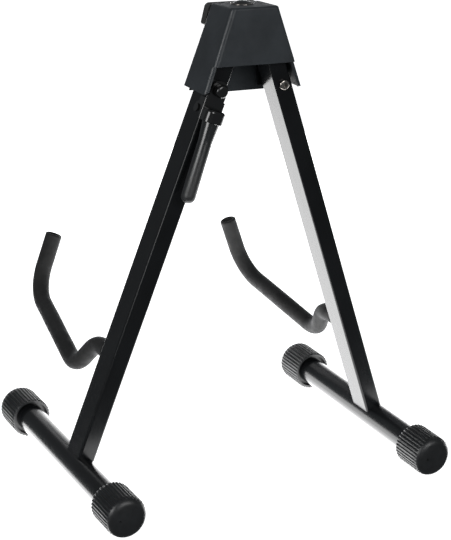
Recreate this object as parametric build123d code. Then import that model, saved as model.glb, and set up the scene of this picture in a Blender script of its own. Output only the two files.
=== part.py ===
from build123d import *
import math
import os

# Folding A-frame guitar stand. Millimetres, +Z up, cradle arms towards -Y.
# The origin is on the floor, at the middle of the open stand's bounding box.
# Each leg has its own frame: X square to the leg's side face, Y across the stand,
# Z up the leg from the centre of its foot tube.

# Stance
TILT = 19.8
FOOT_X = 150.0
LEG_Y = 46.5
FOOT_Z = 18.4

# Legs: rectangular tube, standing on a round foot tube
LEG_W = 16.0
LEG_D = 26.5
LEG_BACK = LEG_D / 2
LEG_WALL = 1.5
LEG_CORNER = 2.0
LEG_TOP = 400.0
FOOT_R = 12.5
FOOT_WALL = 1.5
FOOT_FRONT = 145.5
FOOT_REAR = 111.5
CAP_R = 18.4
CAP_LENGTH = 37.0
CAP_END = 4.0
CAP_FACE_R = 12.6
CAP_DOME = 1.0
CAP_SHOULDER = 7.8
CAP_RIBS = 36
GROOVE_R = 1.25
GROOVE_OUT = 0.1
GATE_R = 1.0
GATE_OUT = 7.5

# Stations up the leg
ARM_S = 102.6
RIVET_S = 330.4
RIVET_Y = 7.2
LOCK_S = 350.0
HINGE_S = 392.9

# Cradle arms: centre-line points of the left arm after its root, measured from the leg plane
ARM_ROD_R = 5.0
ARM_SLEEVE_R = 7.8
ARM_RISE = 1.3
ARM_ROOT_Y = -38.0
ARM_POINTS = [
    (125.1, -62.8, 83.2),
    (112.0, -192.9, 108.4),
    (93.8, -195.7, 161.5),
]
ARM_BENDS = [25.0, 25.0, 33.0]

# Head
HEAD_TOP = 416.0
HEAD_TOP_FRONT = 413.6
HEAD_HALF_TOP = 22.2
HEAD_SLOPE = 0.35
HEAD_FRONT = -22.5
HEAD_REAR_TOP = 16.5
HEAD_REAR_SLOPE = 0.077
HEAD_SIDE_END = 345.4
HEAD_REAR_END = 368.2
HEAD_FRONT_END = 336.6
HEAD_SETBACK = 2.8
HEAD_WALL = 2.2
HEAD_CORNER = 4.0
PLATE_BACK = -13.75
PLATE_T = 2.0

# Release lever, in the left leg's frame
BRACKET_IN = 14.95
BRACKET_T = 1.5
BRACKET_OUT = BRACKET_IN + BRACKET_T
EAR_IN = 8.4
EAR_OUT = EAR_IN + BRACKET_T
EAR_R = 7.0
EAR_Y = 8.4
EAR_S = 329.8
LEVER_LOW = 323.0
ROD_R = 3.5
GRIP_R = 6.25
GRIP_Y = 20.65
GRIP_END = 258.9
GRIP_SPLAY = 4.95
FLARE_R = 7.6
FLARE_LENGTH = 16.0
SHOULDER_HALF = 9.2
SHOULDER_DEPTH = 11.4
SHOULDER_HEIGHT = 11.0
KNOB_Y = 17.15

# Fasteners
HINGE_R = 4.0
BOLT_R = 2.5
PIN_R = 3.0
RIVET_R = 2.0
FIT = 0.05
# (side, station, bolt radius) of the bolts that hold the legs to the bracket
HEAD_BOLTS = [(1, HINGE_S, HINGE_R), (-1, LOCK_S, BOLT_R), (-1, HINGE_S, BOLT_R)]
PIN_HOLE_R = 3.2

# Bracket inside the head: its roof tab is TAB_Z high, its plate tapers with the hood
TAB_Z = 404.0
TAB_HALF = 13.0
TAB_REAR = 6.0
SCREW_R = 2.5
SCREW_Y = -9.0
HOOD_CLEARANCE = 4.0
PLATE_END = 342.0
ARCH_Z = 366.0
ARCH_HALF = 18.0


def leg_place(side):
    """Where a leg's own frame stands: side +1 is the left leg, -1 the right leg."""
    return Location((side * FOOT_X, LEG_Y, FOOT_Z), (0, -side * TILT, 0))


def leg_point(side, station):
    """The (x, z) of a station on a leg's centre line."""
    angle = math.radians(TILT)
    return side * (FOOT_X - station * math.sin(angle)), FOOT_Z + station * math.cos(angle)


def along_y(radius, y0, y1, x=0.0, z=0.0):
    """A round bar parallel to Y between y0 and y1."""
    bar = Cylinder(radius, y1 - y0, align=(Align.CENTER, Align.CENTER, Align.MIN))
    return bar.moved(Location((x, y0, z), (-90, 0, 0)))


def along_x(radius, x0, x1, y=0.0, z=0.0):
    """A round bar parallel to X between x0 and x1."""
    bar = Cylinder(radius, x1 - x0, align=(Align.CENTER, Align.CENTER, Align.MIN))
    return bar.moved(Location((x0, y, z), (0, 90, 0)))


def hex_along_y(across_flats, y0, y1, x=0.0, z=0.0):
    """A hexagonal prism parallel to Y between y0 and y1."""
    profile = RegularPolygon(across_flats / 2, 6, major_radius=False)
    prism = extrude(profile, y1 - y0)
    return prism.moved(Location((x, y0, z), (-90, 0, 0)))


def block(x0, x1, y0, y1, z0, z1):
    """A box given by its limits."""
    solid = Box(x1 - x0, y1 - y0, z1 - z0)
    return solid.moved(Location(((x0 + x1) / 2, (y0 + y1) / 2, (z0 + z1) / 2)))


def y_prism(points, y0, y1):
    """A straight prism along Y whose section is a polygon of (x, z) points."""
    wire = Polyline(*[(x, y0, z) for x, z in points], close=True)
    return extrude(make_face(wire), y1 - y0, dir=(0, 1, 0))


def leg_tube():
    """Rectangular tube, its lower end shaped to sit on the foot tube."""
    outer = extrude(RectangleRounded(LEG_W, LEG_D, LEG_CORNER), LEG_TOP)
    hollow = RectangleRounded(LEG_W - 2 * LEG_WALL, LEG_D - 2 * LEG_WALL, LEG_CORNER - LEG_WALL)
    tube = outer - extrude(hollow, LEG_TOP)
    tube -= along_y(FOOT_R, -LEG_D, LEG_D)
    return tube - along_y(ARM_ROD_R, -LEG_D, 0, z=ARM_S)


def left_leg_tube():
    """Lever-side leg: bored for its hinge, the lock pin and the lever's rivet."""
    tube = leg_tube()
    tube -= along_y(HINGE_R + FIT, -LEG_D, LEG_D, z=HINGE_S)
    tube -= along_y(PIN_R + FIT, -LEG_D, LEG_D, z=LOCK_S)
    return tube - along_x(RIVET_R, -LEG_W, LEG_W, y=RIVET_Y, z=RIVET_S)


def right_leg_tube():
    """Fixed leg: bored for its two bolts."""
    tube = leg_tube()
    for station in (LOCK_S, HINGE_S):
        tube -= along_y(BOLT_R, -LEG_D, LEG_D, z=station)
    return tube


def foot_tube(side):
    """Round tube lying front to back under a leg."""
    outer = along_y(FOOT_R, CAP_END - FOOT_FRONT, FOOT_REAR - CAP_END)
    tube = outer - along_y(FOOT_R - FOOT_WALL, -FOOT_FRONT, FOOT_REAR)
    return tube.moved(Location((side * FOOT_X, LEG_Y, FOOT_Z)))


def foot_cap():
    """Ribbed rubber cap standing on its closed domed end, mouth upwards."""
    wall = [
        (CAP_R, CAP_SHOULDER),
        (CAP_R, CAP_LENGTH - 1.0),
        (CAP_R - 1.0, CAP_LENGTH),
        (CAP_R - 2.6, CAP_LENGTH),
        (CAP_R - 2.6, CAP_LENGTH - 5.0),
        (FOOT_R, CAP_LENGTH - 5.0),
        (FOOT_R, CAP_END),
        (0, CAP_END),
    ]
    dome = ThreePointArc((0, 0, 0), (CAP_FACE_R / 2, 0, CAP_DOME / 4), (CAP_FACE_R, 0, CAP_DOME))
    shoulder = ThreePointArc((CAP_FACE_R, 0, CAP_DOME), (16.75, 0, 3.33), (CAP_R, 0, CAP_SHOULDER))
    rest = Polyline(*[(r, 0, z) for r, z in wall], (0, 0, 0))
    outline = Wire([dome, shoulder] + rest.edges())
    cap = revolve(make_face(outline), Axis.Z)
    groove = Cylinder(GROOVE_R, CAP_LENGTH + 2.0, align=(Align.CENTER, Align.CENTER, Align.MIN))
    grooves = []
    for i in range(CAP_RIBS):
        turn = Location((0, 0, 0), (0, 0, 360 * i / CAP_RIBS))
        grooves.append(groove.moved(turn * Location((CAP_R + GROOVE_OUT, 0, -1.0))))
    gate = Cylinder(GATE_R, 2.4).moved(Location((GATE_OUT, 0, 0)))
    return cap - grooves - gate


def placed_caps():
    """The four caps on the ends of the foot tubes."""
    cap = foot_cap()
    caps = {}
    for name, side in (("left", 1), ("right", -1)):
        front = Location((side * FOOT_X, LEG_Y - FOOT_FRONT, FOOT_Z), (-90, 0, 0))
        rear = Location((side * FOOT_X, LEG_Y + FOOT_REAR, FOOT_Z), (90, 0, 0))
        caps[name + "_front_cap"] = cap.moved(front)
        caps[name + "_rear_cap"] = cap.moved(rear)
    return caps


def arm_points(side):
    """Centre line of one arm from its bend at the root to its tip.

    The two arms are set at slightly different heights: the left one is pitched up by ARM_RISE
    and the right one down by as much.
    """
    pitch = math.radians(side * ARM_RISE)
    root_x, root_z = leg_point(side, ARM_S)
    points = [Vector(root_x, LEG_Y + ARM_ROOT_Y, root_z)]
    for x, y, z in ARM_POINTS:
        dy = y - ARM_ROOT_Y
        dz = z - root_z
        new_y = ARM_ROOT_Y + dy * math.cos(pitch) + dz * math.sin(pitch)
        new_z = root_z - dy * math.sin(pitch) + dz * math.cos(pitch)
        points.append(Vector(side * x, LEG_Y + new_y, new_z))
    return points


def bent_path(points, radii):
    """Straight runs joined by round bends, one radius for each inner point."""
    pieces = []
    start = points[0]
    for i, radius in enumerate(radii):
        corner = points[i + 1]
        back = (points[i] - corner).normalized()
        ahead = (points[i + 2] - corner).normalized()
        half = math.acos(back.dot(ahead)) / 2
        reach = radius / math.tan(half)
        first = corner + back * reach
        last = corner + ahead * reach
        to_centre = (back + ahead).normalized()
        middle = corner + to_centre * (radius / math.sin(half) - radius)
        pieces.append(Line(start, first))
        pieces.append(ThreePointArc(first, middle, last))
        start = last
    pieces.append(Line(start, points[-1]))
    return Wire(pieces)


def round_sweep(path, radius):
    """A round bar along a path."""
    section = Plane(origin=path @ 0, z_dir=path % 0) * Circle(radius)
    return sweep(section, path=path)


def arm_rod(side):
    """Steel rod from inside the leg to just inside the sleeve's end."""
    points = arm_points(side)
    inner = Vector(points[0].X, LEG_Y - 4.0, points[0].Z)
    tip_way = (points[3] - points[2]).normalized()
    run = [inner] + points[:3] + [points[3] - tip_way * 3.0]
    return round_sweep(bent_path(run, ARM_BENDS), ARM_ROD_R)


def arm_sleeve(side):
    """Foam tube over the whole of the arm outside the leg."""
    points = arm_points(side)
    start = Vector(points[0].X, LEG_Y - LEG_BACK, points[0].Z)
    path = bent_path([start] + points, ARM_BENDS)
    return round_sweep(path, ARM_SLEEVE_R) - round_sweep(path, ARM_ROD_R)


def hood_half(z):
    """Half the hood's outside width at a height."""
    return HEAD_HALF_TOP + HEAD_SLOPE * (HEAD_TOP - z)


def head_blank(inset, setback=0.0):
    """The hood's tapered block, drawn in by inset on its sides and by setback at its rear."""
    def outline(z):
        half_x = hood_half(z) - inset
        front = HEAD_FRONT + inset
        rear = HEAD_REAR_TOP + HEAD_REAR_SLOPE * (HEAD_TOP - z) - inset - setback
        corner = max(HEAD_CORNER - inset, 1.0)
        profile = RectangleRounded(2 * half_x, rear - front, corner)
        return profile.moved(Location((0, (front + rear) / 2, z)))

    return loft([outline(HEAD_FRONT_END - 6.0), outline(HEAD_TOP + 6.0)])


def hood_skirt():
    """Lower part of the hood: side walls stepped in at the rear, and the longer front wall."""
    walls = head_blank(0.0, HEAD_SETBACK) - head_blank(HEAD_WALL, HEAD_SETBACK)
    walls &= block(-80, 80, -60, 60, 300, HEAD_REAR_END)
    inner_y = HEAD_FRONT + HEAD_WALL + 0.5
    top_half = hood_half(HEAD_REAR_END) - HEAD_CORNER
    low_half = hood_half(300) - HEAD_CORNER
    gap = [(-top_half, HEAD_REAR_END), (top_half, HEAD_REAR_END), (low_half, 300), (-low_half, 300)]
    walls -= y_prism(gap, 8, 60)
    rear = HEAD_REAR_TOP + HEAD_REAR_SLOPE * (HEAD_TOP - HEAD_SIDE_END) - HEAD_SETBACK
    side = block(-80, 80, HEAD_FRONT - 2.0, rear + 0.2, HEAD_SIDE_END, HEAD_TOP)
    side = fillet(side.edges().filter_by(Axis.X).sort_by(Axis.Z)[:2], 3.5)
    chin_points = [(-34, HEAD_SIDE_END), (-30.5, HEAD_FRONT_END), (30.5, HEAD_FRONT_END)]
    chin_points += [(34, HEAD_SIDE_END), (34, HEAD_TOP), (-34, HEAD_TOP)]
    chin = y_prism(chin_points, -60, inner_y)
    return walls & (side + chin)


def head_cover():
    """Moulded hood: open below, with a short rear wall and a long front wall."""
    pitch = math.degrees(math.atan2(HEAD_TOP - HEAD_TOP_FRONT, HEAD_REAR_TOP - HEAD_FRONT))
    above = Box(160, 160, 40, align=(Align.CENTER, Align.CENTER, Align.MIN))
    hood = head_blank(0.0) & block(-80, 80, -60, 60, HEAD_REAR_END, HEAD_TOP + 20)
    hood -= above.moved(Location((0, HEAD_REAR_TOP, HEAD_TOP), (pitch, 0, 0)))
    roof = hood.faces().sort_by(Axis.Z)[-1]
    hood = fillet(roof.edges(), 2.2)
    ceiling = above.moved(Location((0, HEAD_REAR_TOP, HEAD_TOP - HEAD_WALL), (pitch, 0, 0)))
    hood -= head_blank(HEAD_WALL) - ceiling
    hood += hood_skirt()
    hood -= Cylinder(SCREW_R + 0.5, 20).moved(Location((0, SCREW_Y, HEAD_TOP - 2)))
    return hood.moved(Location((0, LEG_Y, 0)))


def rest_pad():
    """Rubber block on the front of the head, under the roof."""
    thick = 9.0
    points = [(-28.0, 394.4), (28.0, 394.4), (24.0, 412.8), (-24.0, 412.8)]
    pad = y_prism(points, HEAD_FRONT - thick, HEAD_FRONT)
    upright = pad.edges().filter_by(Axis.Y)
    pad = fillet(upright.sort_by(Axis.Z)[-2:], 4.5)
    pad = fillet(pad.edges().filter_by(Axis.Y).sort_by(Axis.Z)[:2], 2.0)
    front = pad.faces().sort_by(Axis.Y)[0]
    pad = fillet(front.edges(), 1.6)
    return pad.moved(Location((0, LEG_Y, 0)))


def roof_place():
    """The frame of the head screw: on the sloping roof, Z square to it."""
    depth = HEAD_REAR_TOP - HEAD_FRONT
    slope = (HEAD_TOP - HEAD_TOP_FRONT) / depth
    z = HEAD_TOP - slope * (HEAD_REAR_TOP - SCREW_Y)
    return Location((0, LEG_Y + SCREW_Y, z), (math.degrees(math.atan(slope)), 0, 0))


def head_screw():
    """Low domed screw that holds the hood down on its bracket."""
    dome = Sphere(16.0).moved(Location((0, 0, 2.6 - 16.0)))
    keep = Box(40, 40, 20, align=(Align.CENTER, Align.CENTER, Align.MIN))
    head = (dome & keep).moved(Location((0, 0, 0.3)))
    shank = Cylinder(SCREW_R, 7.5, align=(Align.CENTER, Align.CENTER, Align.MAX))
    screw = head + shank.moved(Location((0, 0, 0.5)))
    return screw.moved(roof_place())


def head_ring():
    """Washer ring round the head screw."""
    ring = Cylinder(9.9, 0.9, align=(Align.CENTER, Align.CENTER, Align.MIN))
    ring = chamfer(ring.edges().sort_by(Axis.Z)[-1], 0.6)
    ring -= Cylinder(8.9, 4)
    return ring.moved(roof_place())


def on_left_leg(shape):
    """A shape drawn in the left leg's frame, in place."""
    return shape.moved(leg_place(1))


def on_right_leg(shape):
    """A shape drawn in the right leg's frame, in place."""
    return shape.moved(leg_place(-1))


def head_bracket():
    """Steel plate inside the hood, arched over the gap between the legs, with a roof tab."""
    half_top = hood_half(TAB_Z) - HOOD_CLEARANCE
    half_end = hood_half(PLATE_END) - HOOD_CLEARANCE
    arch_end = ARCH_HALF + 3.5
    outline = [(-half_top, TAB_Z), (half_top, TAB_Z), (half_end, PLATE_END), (arch_end, PLATE_END)]
    outline += [(ARCH_HALF, ARCH_Z), (-ARCH_HALF, ARCH_Z), (-arch_end, PLATE_END), (-half_end, PLATE_END)]
    plate = y_prism(outline, PLATE_BACK - PLATE_T, PLATE_BACK)
    plate += block(-TAB_HALF, TAB_HALF, PLATE_BACK - PLATE_T, TAB_REAR, TAB_Z - PLATE_T, TAB_Z)
    plate = plate.moved(Location((0, LEG_Y, 0)))
    for side, station, radius in HEAD_BOLTS + [(1, LOCK_S, PIN_HOLE_R)]:
        x, z = leg_point(side, station)
        plate -= along_y(radius, LEG_Y - 25, LEG_Y - 10, x=x, z=z)
    return plate - Cylinder(SCREW_R, 12).moved(Location((0, LEG_Y + SCREW_Y, TAB_Z)))


def nut_plate():
    """Square nut under the bracket's tab, on the head screw's shank."""
    top = TAB_Z - PLATE_T
    return block(-4, 4, LEG_Y + SCREW_Y - 4, LEG_Y + SCREW_Y + 4, top - 3.0, top)


def hinge_bolt():
    """Pivot of the folding leg: flat head behind the leg, end in the nut."""
    x, z = leg_point(1, HINGE_S)
    under = LEG_Y + LEG_BACK + 0.5
    head = along_y(6.5, under, under + 2.2, x=x, z=z)
    shank = along_y(HINGE_R, LEG_Y - 19.6, under, x=x, z=z)
    return head + shank


def right_leg_bolts():
    """The fixed leg's two button-head bolts; the lower one is in the open below the hood."""
    bolts = []
    face = LEG_Y + LEG_BACK
    for station in (LOCK_S, HINGE_S):
        x, z = leg_point(-1, station)
        head = along_y(4.6, face, face + 2.7, x=x, z=z)
        head = fillet(head.edges().sort_by(Axis.Y)[-1], 1.6)
        head -= hex_along_y(3.6, face + 0.9, face + 3.5, x=x, z=z)
        bolts.append(head + along_y(BOLT_R, LEG_Y - 19.4, face, x=x, z=z))
    return bolts


def nuts():
    """Hexagon nuts in front of the bracket, on the hinge bolt and the fixed leg's bolts."""
    front = LEG_Y + PLATE_BACK - PLATE_T
    result = []
    for side, station, radius in HEAD_BOLTS:
        x, z = leg_point(side, station)
        nut = hex_along_y(3.2 * radius, front - 4.0, front, x=x, z=z)
        result.append(nut - along_y(radius, front - 10, front + 10, x=x, z=z))
    return result


def spacer_washers():
    """Thin washers between the legs' front faces and the bracket."""
    result = []
    for side, station, radius in HEAD_BOLTS:
        x, z = leg_point(side, station)
        ring = along_y(7.0, LEG_Y + PLATE_BACK, LEG_Y - LEG_BACK, x=x, z=z)
        bore = radius + FIT if side == 1 else radius
        result.append(ring - along_y(bore, LEG_Y - 20, LEG_Y, x=x, z=z))
    return result


def leg_stop():
    """Block on the bracket that the open leg's outer face rests against."""
    stop = block(LEG_W / 2 + 0.05, LEG_W / 2 + 2.2, PLATE_BACK, 6.0, 362, 374)
    return on_left_leg(stop)


def lock_pin():
    """Pin through the left leg, with its neck reaching back through the lever bracket."""
    pin = along_y(PIN_R, 0.1 - LEG_BACK, KNOB_Y, z=LOCK_S)
    pin = chamfer(pin.edges().sort_by(Axis.Y)[0], 0.6)
    return on_left_leg(pin)


def lock_knob():
    """Round knob on the pin's rear end, over the lever bracket."""
    knob = along_y(5.6, KNOB_Y, KNOB_Y + 6.0, z=LOCK_S)
    knob = fillet(knob.edges().sort_by(Axis.Y)[-1], 2.2)
    return on_left_leg(knob)


def lock_clip():
    """Ring on the pin inside the leg that the spring pushes against."""
    ring = along_y(5.0, -1.0, 0.2, z=LOCK_S) - along_y(PIN_R, -5, 5, z=LOCK_S)
    return on_left_leg(ring)


def lock_spring():
    """Coil spring between the ring and the leg's rear wall."""
    coil = Helix(pitch=2.1, height=10.3, radius=4.1)
    section = Plane(origin=coil @ 0, z_dir=coil % 0) * Circle(0.4)
    wire = sweep(section, path=coil, is_frenet=True)
    wire = wire.moved(Location((0, 0.72, LOCK_S), (-90, 0, 0)))
    return on_left_leg(wire)


def lever_bracket():
    """Folded channel: a rear plate with a round top and an ear on each side of the leg."""
    channel = block(-EAR_OUT, EAR_OUT, BRACKET_IN - 8, BRACKET_OUT, LEVER_LOW, 341.0)
    channel = fillet(channel.edges().filter_by(Axis.Z).sort_by(Axis.Y)[-2:], 1.4)
    channel -= block(-EAR_IN, EAR_IN, -20, BRACKET_IN, 300, 360)
    ear_shape = along_x(EAR_R, -EAR_OUT, EAR_OUT, y=EAR_Y, z=EAR_S)
    ear_shape += block(-EAR_OUT, EAR_OUT, RIVET_Y, BRACKET_IN - 6, 326.0, 338.0)
    ears = ear_shape - block(-EAR_IN, EAR_IN, -20, 20, 300, 360)
    top = along_y(7.9, BRACKET_IN, BRACKET_OUT, z=LOCK_S)
    top += block(-7.9, 7.9, BRACKET_IN, BRACKET_OUT, 339.0, LOCK_S)
    low_cut = Box(60, 30, 20).moved(Location((0, RIVET_Y + 2.0, LEVER_LOW - 5.6), (-32, 0, 0)))
    body = channel + ears + top
    body -= low_cut & block(-60, 60, -30, BRACKET_IN - 0.8, 280, 360)
    body -= along_x(RIVET_R + FIT, -20, 20, y=RIVET_Y, z=RIVET_S)
    body -= along_y(4.1, 0, 30, z=LOCK_S)
    return on_left_leg(body)


def lever_rivet():
    """Rivet through the leg and both ears."""
    inner = EAR_OUT + 0.1
    rivet = along_x(RIVET_R, -inner, inner, y=RIVET_Y, z=RIVET_S)
    rivet += along_x(3.6, -inner - 1.2, -inner, y=RIVET_Y, z=RIVET_S)
    rivet += along_x(3.6, inner, inner + 1.2, y=RIVET_Y, z=RIVET_S)
    return on_left_leg(rivet)


def grip_axis(station):
    """How far behind the leg plane the handle's centre line is at a station."""
    return GRIP_Y + (LEVER_LOW - station) * math.tan(math.radians(GRIP_SPLAY))


def rod_blank():
    """The lever's rod in the leg's frame, bent where it leaves the grip."""
    low = Vector(0, grip_axis(262.0), 262.0)
    joint = Vector(0, grip_axis(LEVER_LOW + 2.0), LEVER_LOW + 2.0)
    high = Vector(0, joint.Y, LEVER_LOW + 8.0)
    return round_sweep(bent_path([low, joint, high], [30.0]), ROD_R)


def lever_rod():
    """Steel rod inside the grip, its top end inside the shoulder."""
    return on_left_leg(rod_blank())


def lever_grip():
    """Dipped grip with a round end, over the rod; it flares out towards the shoulder."""
    length = GRIP_R + LEVER_LOW - GRIP_END
    low = Vector(0, grip_axis(GRIP_END), GRIP_END)
    way = (Vector(0, grip_axis(LEVER_LOW), LEVER_LOW) - low).normalized()
    half = make_face(Wire([
        Line((0, 0), (0, length)),
        Line((0, length), (FLARE_R, length)),
        Line((FLARE_R, length), (GRIP_R, length - FLARE_LENGTH)),
        Line((GRIP_R, length - FLARE_LENGTH), (GRIP_R, GRIP_R)),
        ThreePointArc((GRIP_R, GRIP_R), (GRIP_R * math.sin(0.8), GRIP_R - GRIP_R * math.cos(0.8)), (0, 0)),
    ]))
    grip = revolve(Plane.XZ * half, Axis.Z)
    grip = grip.moved(Location(Plane(origin=low - way * GRIP_R, x_dir=(1, 0, 0), z_dir=way)))
    grip -= block(-20, 20, -20, 60, LEVER_LOW - 0.3, 400)
    grip -= block(-20, 20, -20, BRACKET_IN, 200, 400)
    return on_left_leg(grip - rod_blank())


def lever_shoulder():
    """Rounded block at the head of the grip that joins the rod to the bracket."""
    rear = BRACKET_OUT + SHOULDER_DEPTH
    top = LEVER_LOW + SHOULDER_HEIGHT
    shoulder = block(-SHOULDER_HALF, SHOULDER_HALF, BRACKET_OUT, rear, LEVER_LOW, top)
    shoulder = fillet(shoulder.edges().filter_by(Axis.Z).sort_by(Axis.Y)[-2:], 6.0)
    rim = shoulder.faces().sort_by(Axis.Z)[-1].edges().sort_by(Axis.Y)[1:]
    shoulder = fillet(rim, 3.0)
    return on_left_leg(shoulder - rod_blank())


def build():
    """Every node of the stand by name."""
    nodes = {
        "head_cover": head_cover(),
        "head_rest_pad": rest_pad(),
        "head_screw": head_screw(),
        "head_screw_ring": head_ring(),
        "head_bracket": head_bracket(),
        "head_nut_plate": nut_plate(),
        "hinge_bolt": hinge_bolt(),
        "right_leg_bolts": Compound(right_leg_bolts()),
        "head_nuts": Compound(nuts()),
        "spacer_washers": Compound(spacer_washers()),
        "leg_stop": leg_stop(),
        "left_leg_tube": on_left_leg(left_leg_tube()),
        "right_leg_tube": on_right_leg(right_leg_tube()),
        "left_foot_tube": foot_tube(1),
        "right_foot_tube": foot_tube(-1),
        "left_arm_rod": arm_rod(1),
        "right_arm_rod": arm_rod(-1),
        "left_arm_sleeve": arm_sleeve(1),
        "right_arm_sleeve": arm_sleeve(-1),
        "lock_pin": lock_pin(),
        "lock_knob": lock_knob(),
        "lock_clip": lock_clip(),
        "lock_spring": lock_spring(),
        "lever_bracket": lever_bracket(),
        "lever_rivet": lever_rivet(),
        "lever_rod": lever_rod(),
        "lever_grip": lever_grip(),
        "lever_shoulder": lever_shoulder(),
    }
    nodes.update(placed_caps())
    return nodes


os.makedirs("parts", exist_ok=True)
for node, shape in build().items():
    export_step(shape, "parts/" + node + ".step")
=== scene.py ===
import math

import bmesh
import bpy
from mathutils import Matrix, Vector, noise


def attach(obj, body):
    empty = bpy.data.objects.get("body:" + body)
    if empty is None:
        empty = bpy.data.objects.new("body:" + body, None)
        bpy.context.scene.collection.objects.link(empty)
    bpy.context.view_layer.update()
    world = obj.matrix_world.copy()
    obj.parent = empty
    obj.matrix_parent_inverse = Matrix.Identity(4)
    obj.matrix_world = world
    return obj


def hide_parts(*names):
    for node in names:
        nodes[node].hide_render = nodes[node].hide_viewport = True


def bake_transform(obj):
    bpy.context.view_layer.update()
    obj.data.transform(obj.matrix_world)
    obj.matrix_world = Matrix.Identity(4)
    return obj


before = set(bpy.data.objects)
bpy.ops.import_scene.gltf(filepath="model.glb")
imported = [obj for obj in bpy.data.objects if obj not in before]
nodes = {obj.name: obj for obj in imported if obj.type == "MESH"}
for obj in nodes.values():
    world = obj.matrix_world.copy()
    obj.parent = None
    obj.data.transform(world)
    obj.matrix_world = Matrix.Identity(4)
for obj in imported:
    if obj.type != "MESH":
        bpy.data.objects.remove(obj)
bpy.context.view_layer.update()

MM = 0.001

# The arms' centre lines, as in the CAD model (mm)
TILT = math.radians(19.8)
FOOT_X = 150.0
LEG_Y = 46.5
FOOT_Z = 18.4
LEG_D = 26.5
ARM_S = 102.6
ARM_ROOT_Y = -38.0
ARM_POINTS = [
    (125.1, -62.8, 83.2),
    (112.0, -192.9, 108.4),
    (93.8, -195.7, 161.5),
]
ARM_BENDS = [25.0, 25.0, 33.0]
ARM_PITCH = math.radians(1.3)
SLEEVE_R = 7.8
SLEEVE_HOLE = 5.04

# The sleeves' surface (mm)
SLEEVE_STEP = 0.9
SLEEVE_AROUND = 72
RIM_R = 1.3
PULL_SPREAD = 5
BEND_SCALE = 9
SWELL_BROAD = 0.10
SWELL_FINE = 0.05
CREASE_DEPTH = 0.28
CREASE_RATE = 2.1
STRETCH_LOSS = 0.18

# The lock spring, in the left leg's frame, as in the CAD model (mm)
LOCK_S = 350.0
SPRING_R = 4.1
SPRING_WIRE_R = 0.4
SPRING_PITCH = 2.1
SPRING_START = 0.72
SPRING_LENGTH = 10.3
SPRING_STEPS = 180
WIRE_AROUND = 10

# Stage, in metres
FLOOR_HALF = 100.0
FLOOR_GLOW = 0.95
WORLD_COLOR = (0.9, 0.95, 1.0, 1.0)
WORLD_GLOW = 0.22
# Each softbox: name, place, aimed at, size, brightness
SOFTBOXES = [
    ("table_panel", (-0.55, -0.475, 0.0005), (-0.55, -0.475, 1.0), (1.5, 1.25), 6.0),
    ("backdrop", (-0.6, -0.95, 0.2), (-0.6, 0.0, 0.2), (1.3, 0.4), 4.0),
    ("upper_backdrop", (-0.1, -0.95, 0.6), (-0.1, 0.0, 0.3), (0.5, 0.24), 0.9),
    ("key", (1.5, 0.68, 0.74), (0.0, 0.05, 0.33), (0.8, 0.8), 9.0),
    ("fill", (-0.2, 1.9, 1.1), (0.0, 0.0, 0.3), (1.0, 1.0), 7.5),
]
CAMERA_AZIMUTH = math.radians(151.84)
CAMERA_ELEVATION = math.radians(19.26)
CAMERA_ROLL = math.radians(2.31)
CAMERA_DISTANCE = 1.29249
CAMERA_TARGET = Vector((0.09871, 0.22307, 0.24941))
CAMERA_LENS = 114.04
CAMERA_SENSOR = 36.0
CAMERA_SHIFT = (-0.0118, 0.0025)


# ---------------------------------------------------------------- materials

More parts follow.
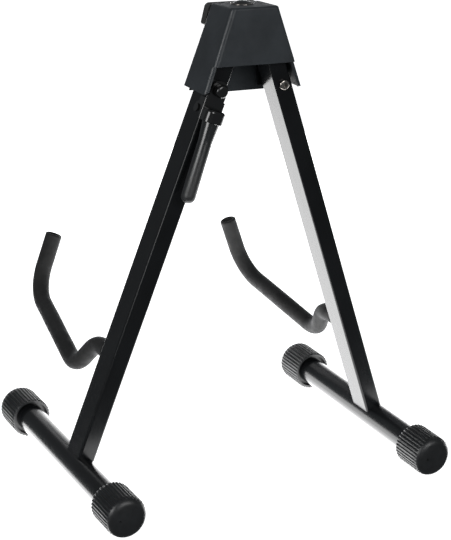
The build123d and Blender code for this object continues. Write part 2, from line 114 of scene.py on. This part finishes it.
class Finish:
    """A node material with colour, roughness and bump built from noise in object coordinates."""

    def __init__(self, name, color, roughness, metallic=0.0, specular=0.5):
        self.material = bpy.data.materials.new(name)
        self.material.use_nodes = True
        self.tree = self.material.node_tree
        self.shader = self.tree.nodes["Principled BSDF"]
        self.shader.inputs["Base Color"].default_value = (*color, 1.0)
        self.shader.inputs["Roughness"].default_value = roughness
        self.shader.inputs["Metallic"].default_value = metallic
        self.shader.inputs["Specular IOR Level"].default_value = specular
        coordinates = self.tree.nodes.new("ShaderNodeTexCoord")
        self.coords = coordinates.outputs["Object"]
        self.whole = coordinates.outputs["Generated"]
        self.normal = None

    def add(self, kind, **inputs):
        """A node with its inputs set by name or linked."""
        node = self.tree.nodes.new(kind)
        for key, value in inputs.items():
            socket = node.inputs[key.replace("_", " ")]
            if isinstance(value, bpy.types.NodeSocket):
                self.tree.links.new(value, socket)
            else:
                socket.default_value = value
        return node

    def noise(self, scale, detail=3.0, roughness=0.55, stretch=(1, 1, 1)):
        """Noise of so many cells to the metre, 0 to 1, stretched along an axis if asked."""
        mapping = self.add("ShaderNodeMapping", Vector=self.coords, Scale=stretch)
        node = self.add("ShaderNodeTexNoise", Vector=mapping.outputs[0], Scale=scale, Detail=detail,
                        Roughness=roughness)
        return node.outputs["Fac"]

    def cells(self, scale):
        """Voronoi cells, so many to the metre."""
        return self.add("ShaderNodeTexVoronoi", Vector=self.coords, Scale=scale).outputs["Distance"]

    def ramp(self, value, low, high, start=0.35, end=0.65):
        """A value spread between low and high."""
        node = self.add("ShaderNodeMapRange", Value=value)
        node.inputs["From Min"].default_value = start
        node.inputs["From Max"].default_value = end
        node.inputs["To Min"].default_value = low
        node.inputs["To Max"].default_value = high
        return node.outputs["Result"]

    def mix(self, value, low, high, start=0.35, end=0.65):
        """A colour between low and high."""
        node = self.tree.nodes.new("ShaderNodeMix")
        node.data_type = "RGBA"
        self.tree.links.new(self.ramp(value, 0.0, 1.0, start, end), node.inputs[0])
        for index, color in ((6, low), (7, high)):
            if isinstance(color, bpy.types.NodeSocket):
                self.tree.links.new(color, node.inputs[index])
            else:
                node.inputs[index].default_value = (*color, 1.0)
        return node.outputs[2]

    def color(self, output):
        """Drives the base colour."""
        self.tree.links.new(output, self.shader.inputs["Base Color"])

    def rough(self, output):
        """Drives the roughness."""
        self.tree.links.new(output, self.shader.inputs["Roughness"])

    def bump(self, height, distance):
        """Adds a bump of a real height, in mm, on top of those before it."""
        node = self.add("ShaderNodeBump", Height=height, Strength=1.0)
        node.inputs["Distance"].default_value = distance * MM
        if self.normal is not None:
            self.tree.links.new(self.normal, node.inputs["Normal"])
        self.normal = node.outputs["Normal"]
        self.tree.links.new(self.normal, self.shader.inputs["Normal"])

    def set(self, **values):
        """Shader sockets by name, with _ for a space."""
        for key, value in values.items():
            self.shader.inputs[key.replace("_", " ")].default_value = value


def gray(value, warm=0.0):
    """A dark neutral, warmer above zero and cooler below."""
    return (value * (1 + warm), value, value * (1 - warm))


def painted_steel(name, tone, roughness, specular, warm=0.0):
    """Sprayed enamel: faint orange peel and faint rubbing marks along the tubes."""
    f = Finish(name, gray(tone, warm), roughness, specular=specular)
    cloud = f.noise(18, detail=4)
    f.color(f.mix(cloud, gray(tone * 0.8, warm), gray(tone * 1.25, warm)))
    rub = f.noise(120, detail=3, stretch=(1, 1, 0.12))
    f.rough(f.ramp(rub, roughness * 0.95, roughness * 1.06))
    f.bump(f.noise(220, detail=1), 0.004)
    return f.material


def moulded_plastic(name, tone, roughness, specular, grain, warm=0.0):
    """Satin moulded plastic with a fine spark-eroded texture."""
    f = Finish(name, gray(tone, warm), roughness, specular=specular)
    f.color(f.mix(f.noise(35, detail=4), gray(tone * 0.85, warm), gray(tone * 1.2, warm)))
    f.rough(f.ramp(f.noise(150, detail=4), roughness * 0.88, roughness * 1.12))
    f.bump(f.noise(1500, detail=4, roughness=0.7), grain)
    f.bump(f.noise(300, detail=2), grain * 0.8)
    return f.material


def rubber(name, tone, roughness, specular, warm=0.0):
    """Moulded rubber: dull, with a faint bloom and a little scuffing."""
    f = Finish(name, gray(tone, warm), roughness, specular=specular)
    bloom = f.noise(60, detail=6, roughness=0.65)
    f.color(f.mix(bloom, gray(tone * 0.75, warm), gray(tone * 1.6, warm)))
    f.rough(f.ramp(f.noise(220, detail=5), roughness * 0.85, roughness * 1.1))
    f.bump(f.noise(900, detail=4, roughness=0.7), 0.03)
    return f.material


def metal(name, tone, roughness, warm=0.0):
    """Plated steel with small stains and fine tool marks."""
    f = Finish(name, gray(tone, warm), roughness, metallic=1.0)
    f.color(f.mix(f.noise(240, detail=5), gray(tone * 0.82, warm), gray(tone * 1.08, warm)))
    f.rough(f.ramp(f.noise(700, detail=4), roughness * 0.7, roughness * 1.35))
    f.bump(f.noise(1800, detail=3), 0.006)
    return f.material


def foam(name):
    """Closed-cell foam: matte skin with fine pores, their pits coloured darker as painted shade, and cloudy
    places.
    """
    tone = 0.012
    f = Finish(name, gray(tone), 0.8, specular=0.2)
    f.set(Sheen_Weight=0.05, Sheen_Roughness=0.42, Sheen_Tint=(0.75, 0.78, 0.85, 1.0))
    cloud = f.mix(f.noise(28, detail=5), gray(tone * 0.8), gray(tone * 1.3))
    pores = f.cells(1500)
    # Each pore's pit is coloured darker than the skin around it: painted shade in the pores.
    f.color(f.mix(pores, gray(tone * 0.55), cloud, 0.02, 0.3))
    f.rough(f.ramp(f.noise(120, detail=4), 0.7, 0.92))
    f.bump(f.ramp(pores, 0.0, 1.0, 0.0, 0.45), 0.05)
    f.bump(f.noise(500, detail=4, roughness=0.65), 0.08)
    return f.material


RING_SCALE = 900 / 6.283


def grip_vinyl(name):
    """Dipped vinyl, duller towards its end, with the fine rings that the dipping leaves."""
    tone = 0.006
    f = Finish(name, gray(tone, -0.08), 0.3, specular=0.5)
    f.color(f.mix(f.noise(90, detail=3), gray(tone * 0.8, -0.08), gray(tone * 1.3, -0.08)))
    height = f.add("ShaderNodeSeparateXYZ", Vector=f.whole).outputs["Z"]
    f.rough(f.ramp(height, 0.5, 0.2, 0.15, 0.9))
    f.bump(f.noise(190, detail=2), 0.01)
    rings = f.add("ShaderNodeTexWave", Vector=f.coords, Scale=RING_SCALE, Distortion=0.6)
    rings.bands_direction = "Z"
    f.bump(rings.outputs["Fac"], 0.004)
    return f.material


SLOTS = {
    "head_plastic": moulded_plastic("head_plastic", 0.022, 0.32, 0.22, 0.005, warm=-0.12),
    "pad_rubber": rubber("pad_rubber", 0.016, 0.6, 0.3, warm=0.03),
    "screw_black": moulded_plastic("screw_black", 0.004, 0.2, 0.5, 0.004),
    "bright_steel": metal("bright_steel", 0.22, 0.2, warm=0.08),
    "plated_steel": metal("plated_steel", 0.5, 0.3),
    "leg_paint": painted_steel("leg_paint", 0.0045, 0.2, 0.16, warm=-0.1),
    "foot_paint": painted_steel("foot_paint", 0.0045, 0.24, 0.3, warm=-0.1),
    "rod_steel": metal("rod_steel", 0.3, 0.35),
    "sleeve_foam": foam("sleeve_foam"),
    "knob_black": moulded_plastic("knob_black", 0.003, 0.16, 0.5, 0.003),
    "spring_steel": metal("spring_steel", 0.4, 0.25),
    "lever_paint": painted_steel("lever_paint", 0.003, 0.18, 0.5),
    "grip_vinyl": grip_vinyl("grip_vinyl"),
    "cap_rubber": rubber("cap_rubber", 0.006, 0.42, 0.4, warm=-0.08),
}


def paint_cad_nodes():
    """Gives each CAD node the finish of its own slot."""
    for node in nodes.values():
        for slot in node.material_slots:
            name = slot.material.name.split(".")[0]
            if name in SLOTS and slot.material is not SLOTS[name]:
                slot.material = SLOTS[name]


# ---------------------------------------------------------------- arm sleeves

def arm_line(side):
    """Corner points of one arm's centre line, in metres, from the leg's face to the tip."""
    pitch = side * ARM_PITCH
    root_x = side * (FOOT_X - ARM_S * math.sin(TILT))
    root_z = FOOT_Z + ARM_S * math.cos(TILT)
    points = [Vector((root_x, LEG_Y - LEG_D / 2, root_z)), Vector((root_x, LEG_Y + ARM_ROOT_Y, root_z))]
    for x, y, z in ARM_POINTS:
        dy = y - ARM_ROOT_Y
        dz = z - root_z
        new_y = ARM_ROOT_Y + dy * math.cos(pitch) + dz * math.sin(pitch)
        new_z = root_z - dy * math.sin(pitch) + dz * math.cos(pitch)
        points.append(Vector((side * x, LEG_Y + new_y, new_z)))
    return [p * MM for p in points]


def rounded_line(points, radii, step):
    """Evenly spaced places along straight runs joined by arcs, with how sharply each one bends.

    Gives (point, direction, towards the bend's centre, 1 / bend radius) for each place.
    """
    places = []

    def straight(a, b):
        count = max(1, round((b - a).length / step))
        way = (b - a).normalized()
        for i in range(count):
            places.append((a.lerp(b, i / count), way, Vector(), 0.0))

    start = points[0]
    for i, radius in enumerate(radii):
        corner = points[i + 1]
        back = (points[i] - corner).normalized()
        ahead = (points[i + 2] - corner).normalized()
        half = math.acos(back.dot(ahead)) / 2
        radius = radius * MM
        reach = radius / math.tan(half)
        first = corner + back * reach
        straight(start, first)
        centre = corner + (back + ahead).normalized() * (radius / math.sin(half))
        turn = math.pi - 2 * half
        axis = (first - centre).cross(-back).normalized()
        count = max(4, round(turn * radius / step))
        for k in range(count):
            spin = Matrix.Rotation(turn * k / count, 3, axis)
            point = centre + spin @ (first - centre)
            places.append((point, (spin @ -back).normalized(), (centre - point).normalized(), 1 / radius))
        start = corner + ahead * reach
    straight(start, points[-1])
    places.append((points[-1], (points[-1] - start).normalized(), Vector(), 0.0))
    return places


def smooth_piece(name, vertices, faces, material):
    """A new object with its faces turned outwards and its quads smooth."""
    mesh = bpy.data.meshes.new(name)
    mesh.from_pydata(vertices, [], faces)
    bm = bmesh.new()
    bm.from_mesh(mesh)
    bmesh.ops.recalc_face_normals(bm, faces=bm.faces)
    bm.to_mesh(mesh)
    bm.free()
    for polygon in mesh.polygons:
        polygon.use_smooth = len(polygon.vertices) == 4
    piece = bpy.data.objects.new(name, mesh)
    bpy.context.collection.objects.link(piece)
    piece.data.materials.append(material)
    return piece


def skin(start, rings, around):
    """Quads between one ring of vertices and the next, numbered from start."""
    faces = []
    for i in range(rings - 1):
        low = start + i * around
        high = low + around
        for k in range(around):
            n = (k + 1) % around
            faces.append((low + k, low + n, high + n, high + k))
    return faces


def bend_pulls(places):
    """How hard and which way the line bends at each place, averaged over its neighbours."""
    last = len(places) - 1
    pulls = []
    for i in range(len(places)):
        window = range(max(0, i - PULL_SPREAD), min(last, i + PULL_SPREAD) + 1)
        pull = Vector()
        for k in window:
            pull += places[k][2] * places[k][3]
        pulls.append(pull / len(window))
    return pulls


def sleeve_radius(point, out, pull, distance):
    """The foam's radius towards out: a little uneven, creased inside a bend and drawn in outside it."""
    bend = out.dot(pull) * BEND_SCALE * MM
    swell = SWELL_BROAD * noise.noise(point * 38 + out * 0.35) + SWELL_FINE * noise.noise(point * 160 + out)
    crease = 0.0
    if bend > 0:
        ripple = math.sin(distance / MM * CREASE_RATE + 1.2 * noise.noise(out * 2))
        crease = CREASE_DEPTH * bend * (0.5 + 0.5 * ripple)
    return (SLEEVE_R + swell - crease - STRETCH_LOSS * max(0.0, -bend)) * MM


def sleeve(name, side):
    """A foam tube along the arm with soft rims."""
    places = rounded_line(arm_line(side), ARM_BENDS, SLEEVE_STEP * MM)
    pulls = bend_pulls(places)
    angles = [2 * math.pi * k / SLEEVE_AROUND for k in range(SLEEVE_AROUND)]
    length = sum((b[0] - a[0]).length for a, b in zip(places, places[1:]))
    rim = RIM_R * MM
    across = Vector((1, 0, 0))
    distance = 0.0
    outside = []
    bore = []
    for i, (point, way, _, _) in enumerate(places):
        if i:
            distance += (point - places[i - 1][0]).length
        across = (across - way * across.dot(way)).normalized()
        other = way.cross(across)
        outs = [across * math.cos(a) + other * math.sin(a) for a in angles]
        short = max(0.0, rim - min(distance, length - distance))
        drop = rim - math.sqrt(max(0.0, rim * rim - short * short))
        outside += [point + out * (sleeve_radius(point, out, pulls[i], distance) - drop) for out in outs]
        bore += [point + out * (SLEEVE_HOLE * MM + 0.5 * short) for out in outs]
    start = len(outside)
    top = start - SLEEVE_AROUND
    faces = []
    for face, bore_face in zip(skin(0, len(places), SLEEVE_AROUND), skin(start, len(places), SLEEVE_AROUND)):
        faces += [face, bore_face[::-1]]
    for k in range(SLEEVE_AROUND):
        n = (k + 1) % SLEEVE_AROUND
        faces.append((start + k, start + n, n, k))
        faces.append((top + k, top + n, start + top + n, start + top + k))
    return smooth_piece(name, outside + bore, faces, SLOTS["sleeve_foam"])


def make_sleeves():
    for side, label, body in ((1, "left", "left_leg"), (-1, "right", "head_and_right_leg")):
        piece = sleeve(label + "_foam_sleeve", side)
        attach(piece, body)
        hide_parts(label + "_arm_sleeve")


# ---------------------------------------------------------------- lock spring

def left_leg_point(x, y, z):
    """A point of the left leg's frame, in metres, in the stand's frame."""
    return Vector((
        FOOT_X + x * math.cos(TILT) - z * math.sin(TILT),
        LEG_Y + y,
        FOOT_Z + x * math.sin(TILT) + z * math.cos(TILT),
    )) * MM


def make_lock_spring():
    """The coil spring again, as a wire helix of its own, between the leg's wall and the clip on the pin."""
    turns = SPRING_LENGTH / SPRING_PITCH
    rise = SPRING_PITCH / (2 * math.pi * SPRING_R)
    vertices = []
    for i in range(SPRING_STEPS + 1):
        angle = 2 * math.pi * turns * i / SPRING_STEPS
        out = Vector((math.cos(angle), 0.0, math.sin(angle)))
        centre = out * SPRING_R + Vector((0, SPRING_START + SPRING_LENGTH * i / SPRING_STEPS, LOCK_S))
        way = Vector((-math.sin(angle), rise, math.cos(angle))).normalized()
        side = way.cross(out)
        for k in range(WIRE_AROUND):
            spin = 2 * math.pi * k / WIRE_AROUND
            point = centre + (out * math.cos(spin) + side * math.sin(spin)) * SPRING_WIRE_R
            vertices.append(left_leg_point(*point))
    last = SPRING_STEPS * WIRE_AROUND
    faces = [tuple(range(WIRE_AROUND)), tuple(range(last, last + WIRE_AROUND))]
    faces += skin(0, SPRING_STEPS + 1, WIRE_AROUND)
    coil = smooth_piece("lock_coil", vertices, faces, SLOTS["spring_steel"])
    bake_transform(coil)
    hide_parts("lock_spring")


# ---------------------------------------------------------------- stage

def make_floor():
    """A pale table, evenly white to the camera; the softboxes do the lighting."""
    mesh = bpy.data.meshes.new("floor")
    corners = [(-1, -1), (1, -1), (1, 1), (-1, 1)]
    mesh.from_pydata([(x * FLOOR_HALF, y * FLOOR_HALF, 0) for x, y in corners], [], [(0, 1, 2, 3)])
    floor = bpy.data.objects.new("floor", mesh)
    bpy.context.collection.objects.link(floor)
    f = Finish("floor_white", (0.8, 0.8, 0.8), 0.9, specular=0.1)
    f.set(Emission_Color=(1.0, 1.0, 1.0, 1.0), Emission_Strength=FLOOR_GLOW)
    floor.data.materials.append(f.material)
    floor.visible_glossy = False
    floor.visible_diffuse = False


def area_light(name, place, target, size, radiance):
    """A softbox of an even brightness, seen in reflections but not by the camera."""
    data = bpy.data.lights.new(name, "AREA")
    data.shape = "RECTANGLE"
    data.size, data.size_y = size
    data.energy = radiance * math.pi * size[0] * size[1]
    light = bpy.data.objects.new(name, data)
    bpy.context.collection.objects.link(light)
    light.location = place
    way = Vector(target) - Vector(place)
    light.rotation_mode = "QUATERNION"
    light.rotation_quaternion = way.to_track_quat("-Z", "Y")
    light.visible_camera = False


def make_lights():
    """A dim world and the softboxes."""
    world = bpy.data.worlds.new("studio")
    bpy.context.scene.world = world
    world.use_nodes = True
    background = world.node_tree.nodes["Background"]
    background.inputs["Color"].default_value = WORLD_COLOR
    background.inputs["Strength"].default_value = WORLD_GLOW
    for softbox in SOFTBOXES:
        area_light(*softbox)


def make_camera():
    """The view of the finished picture: from behind the lever side, slightly above."""
    back = Vector((
        math.sin(CAMERA_AZIMUTH) * math.cos(CAMERA_ELEVATION),
        -math.cos(CAMERA_AZIMUTH) * math.cos(CAMERA_ELEVATION),
        math.sin(CAMERA_ELEVATION),
    ))
    level_right = (-back).cross(Vector((0, 0, 1))).normalized()
    level_up = level_right.cross(-back)
    right = level_right * math.cos(CAMERA_ROLL) + level_up * math.sin(CAMERA_ROLL)
    up = level_up * math.cos(CAMERA_ROLL) - level_right * math.sin(CAMERA_ROLL)
    data = bpy.data.cameras.new("camera")
    data.lens = CAMERA_LENS
    data.sensor_width = CAMERA_SENSOR
    data.shift_x, data.shift_y = CAMERA_SHIFT
    data.clip_start = 0.05
    data.clip_end = 300.0
    camera = bpy.data.objects.new("camera", data)
    bpy.context.collection.objects.link(camera)
    turn = Matrix((right, up, back)).transposed().to_4x4()
    camera.matrix_world = Matrix.Translation(CAMERA_TARGET + back * CAMERA_DISTANCE) @ turn
    bpy.context.scene.camera = camera


make_floor()
make_lights()
make_camera()
paint_cad_nodes()
make_sleeves()
make_lock_spring()
bpy.context.scene.view_settings.view_transform = "Standard"

bpy.context.view_layer.update()
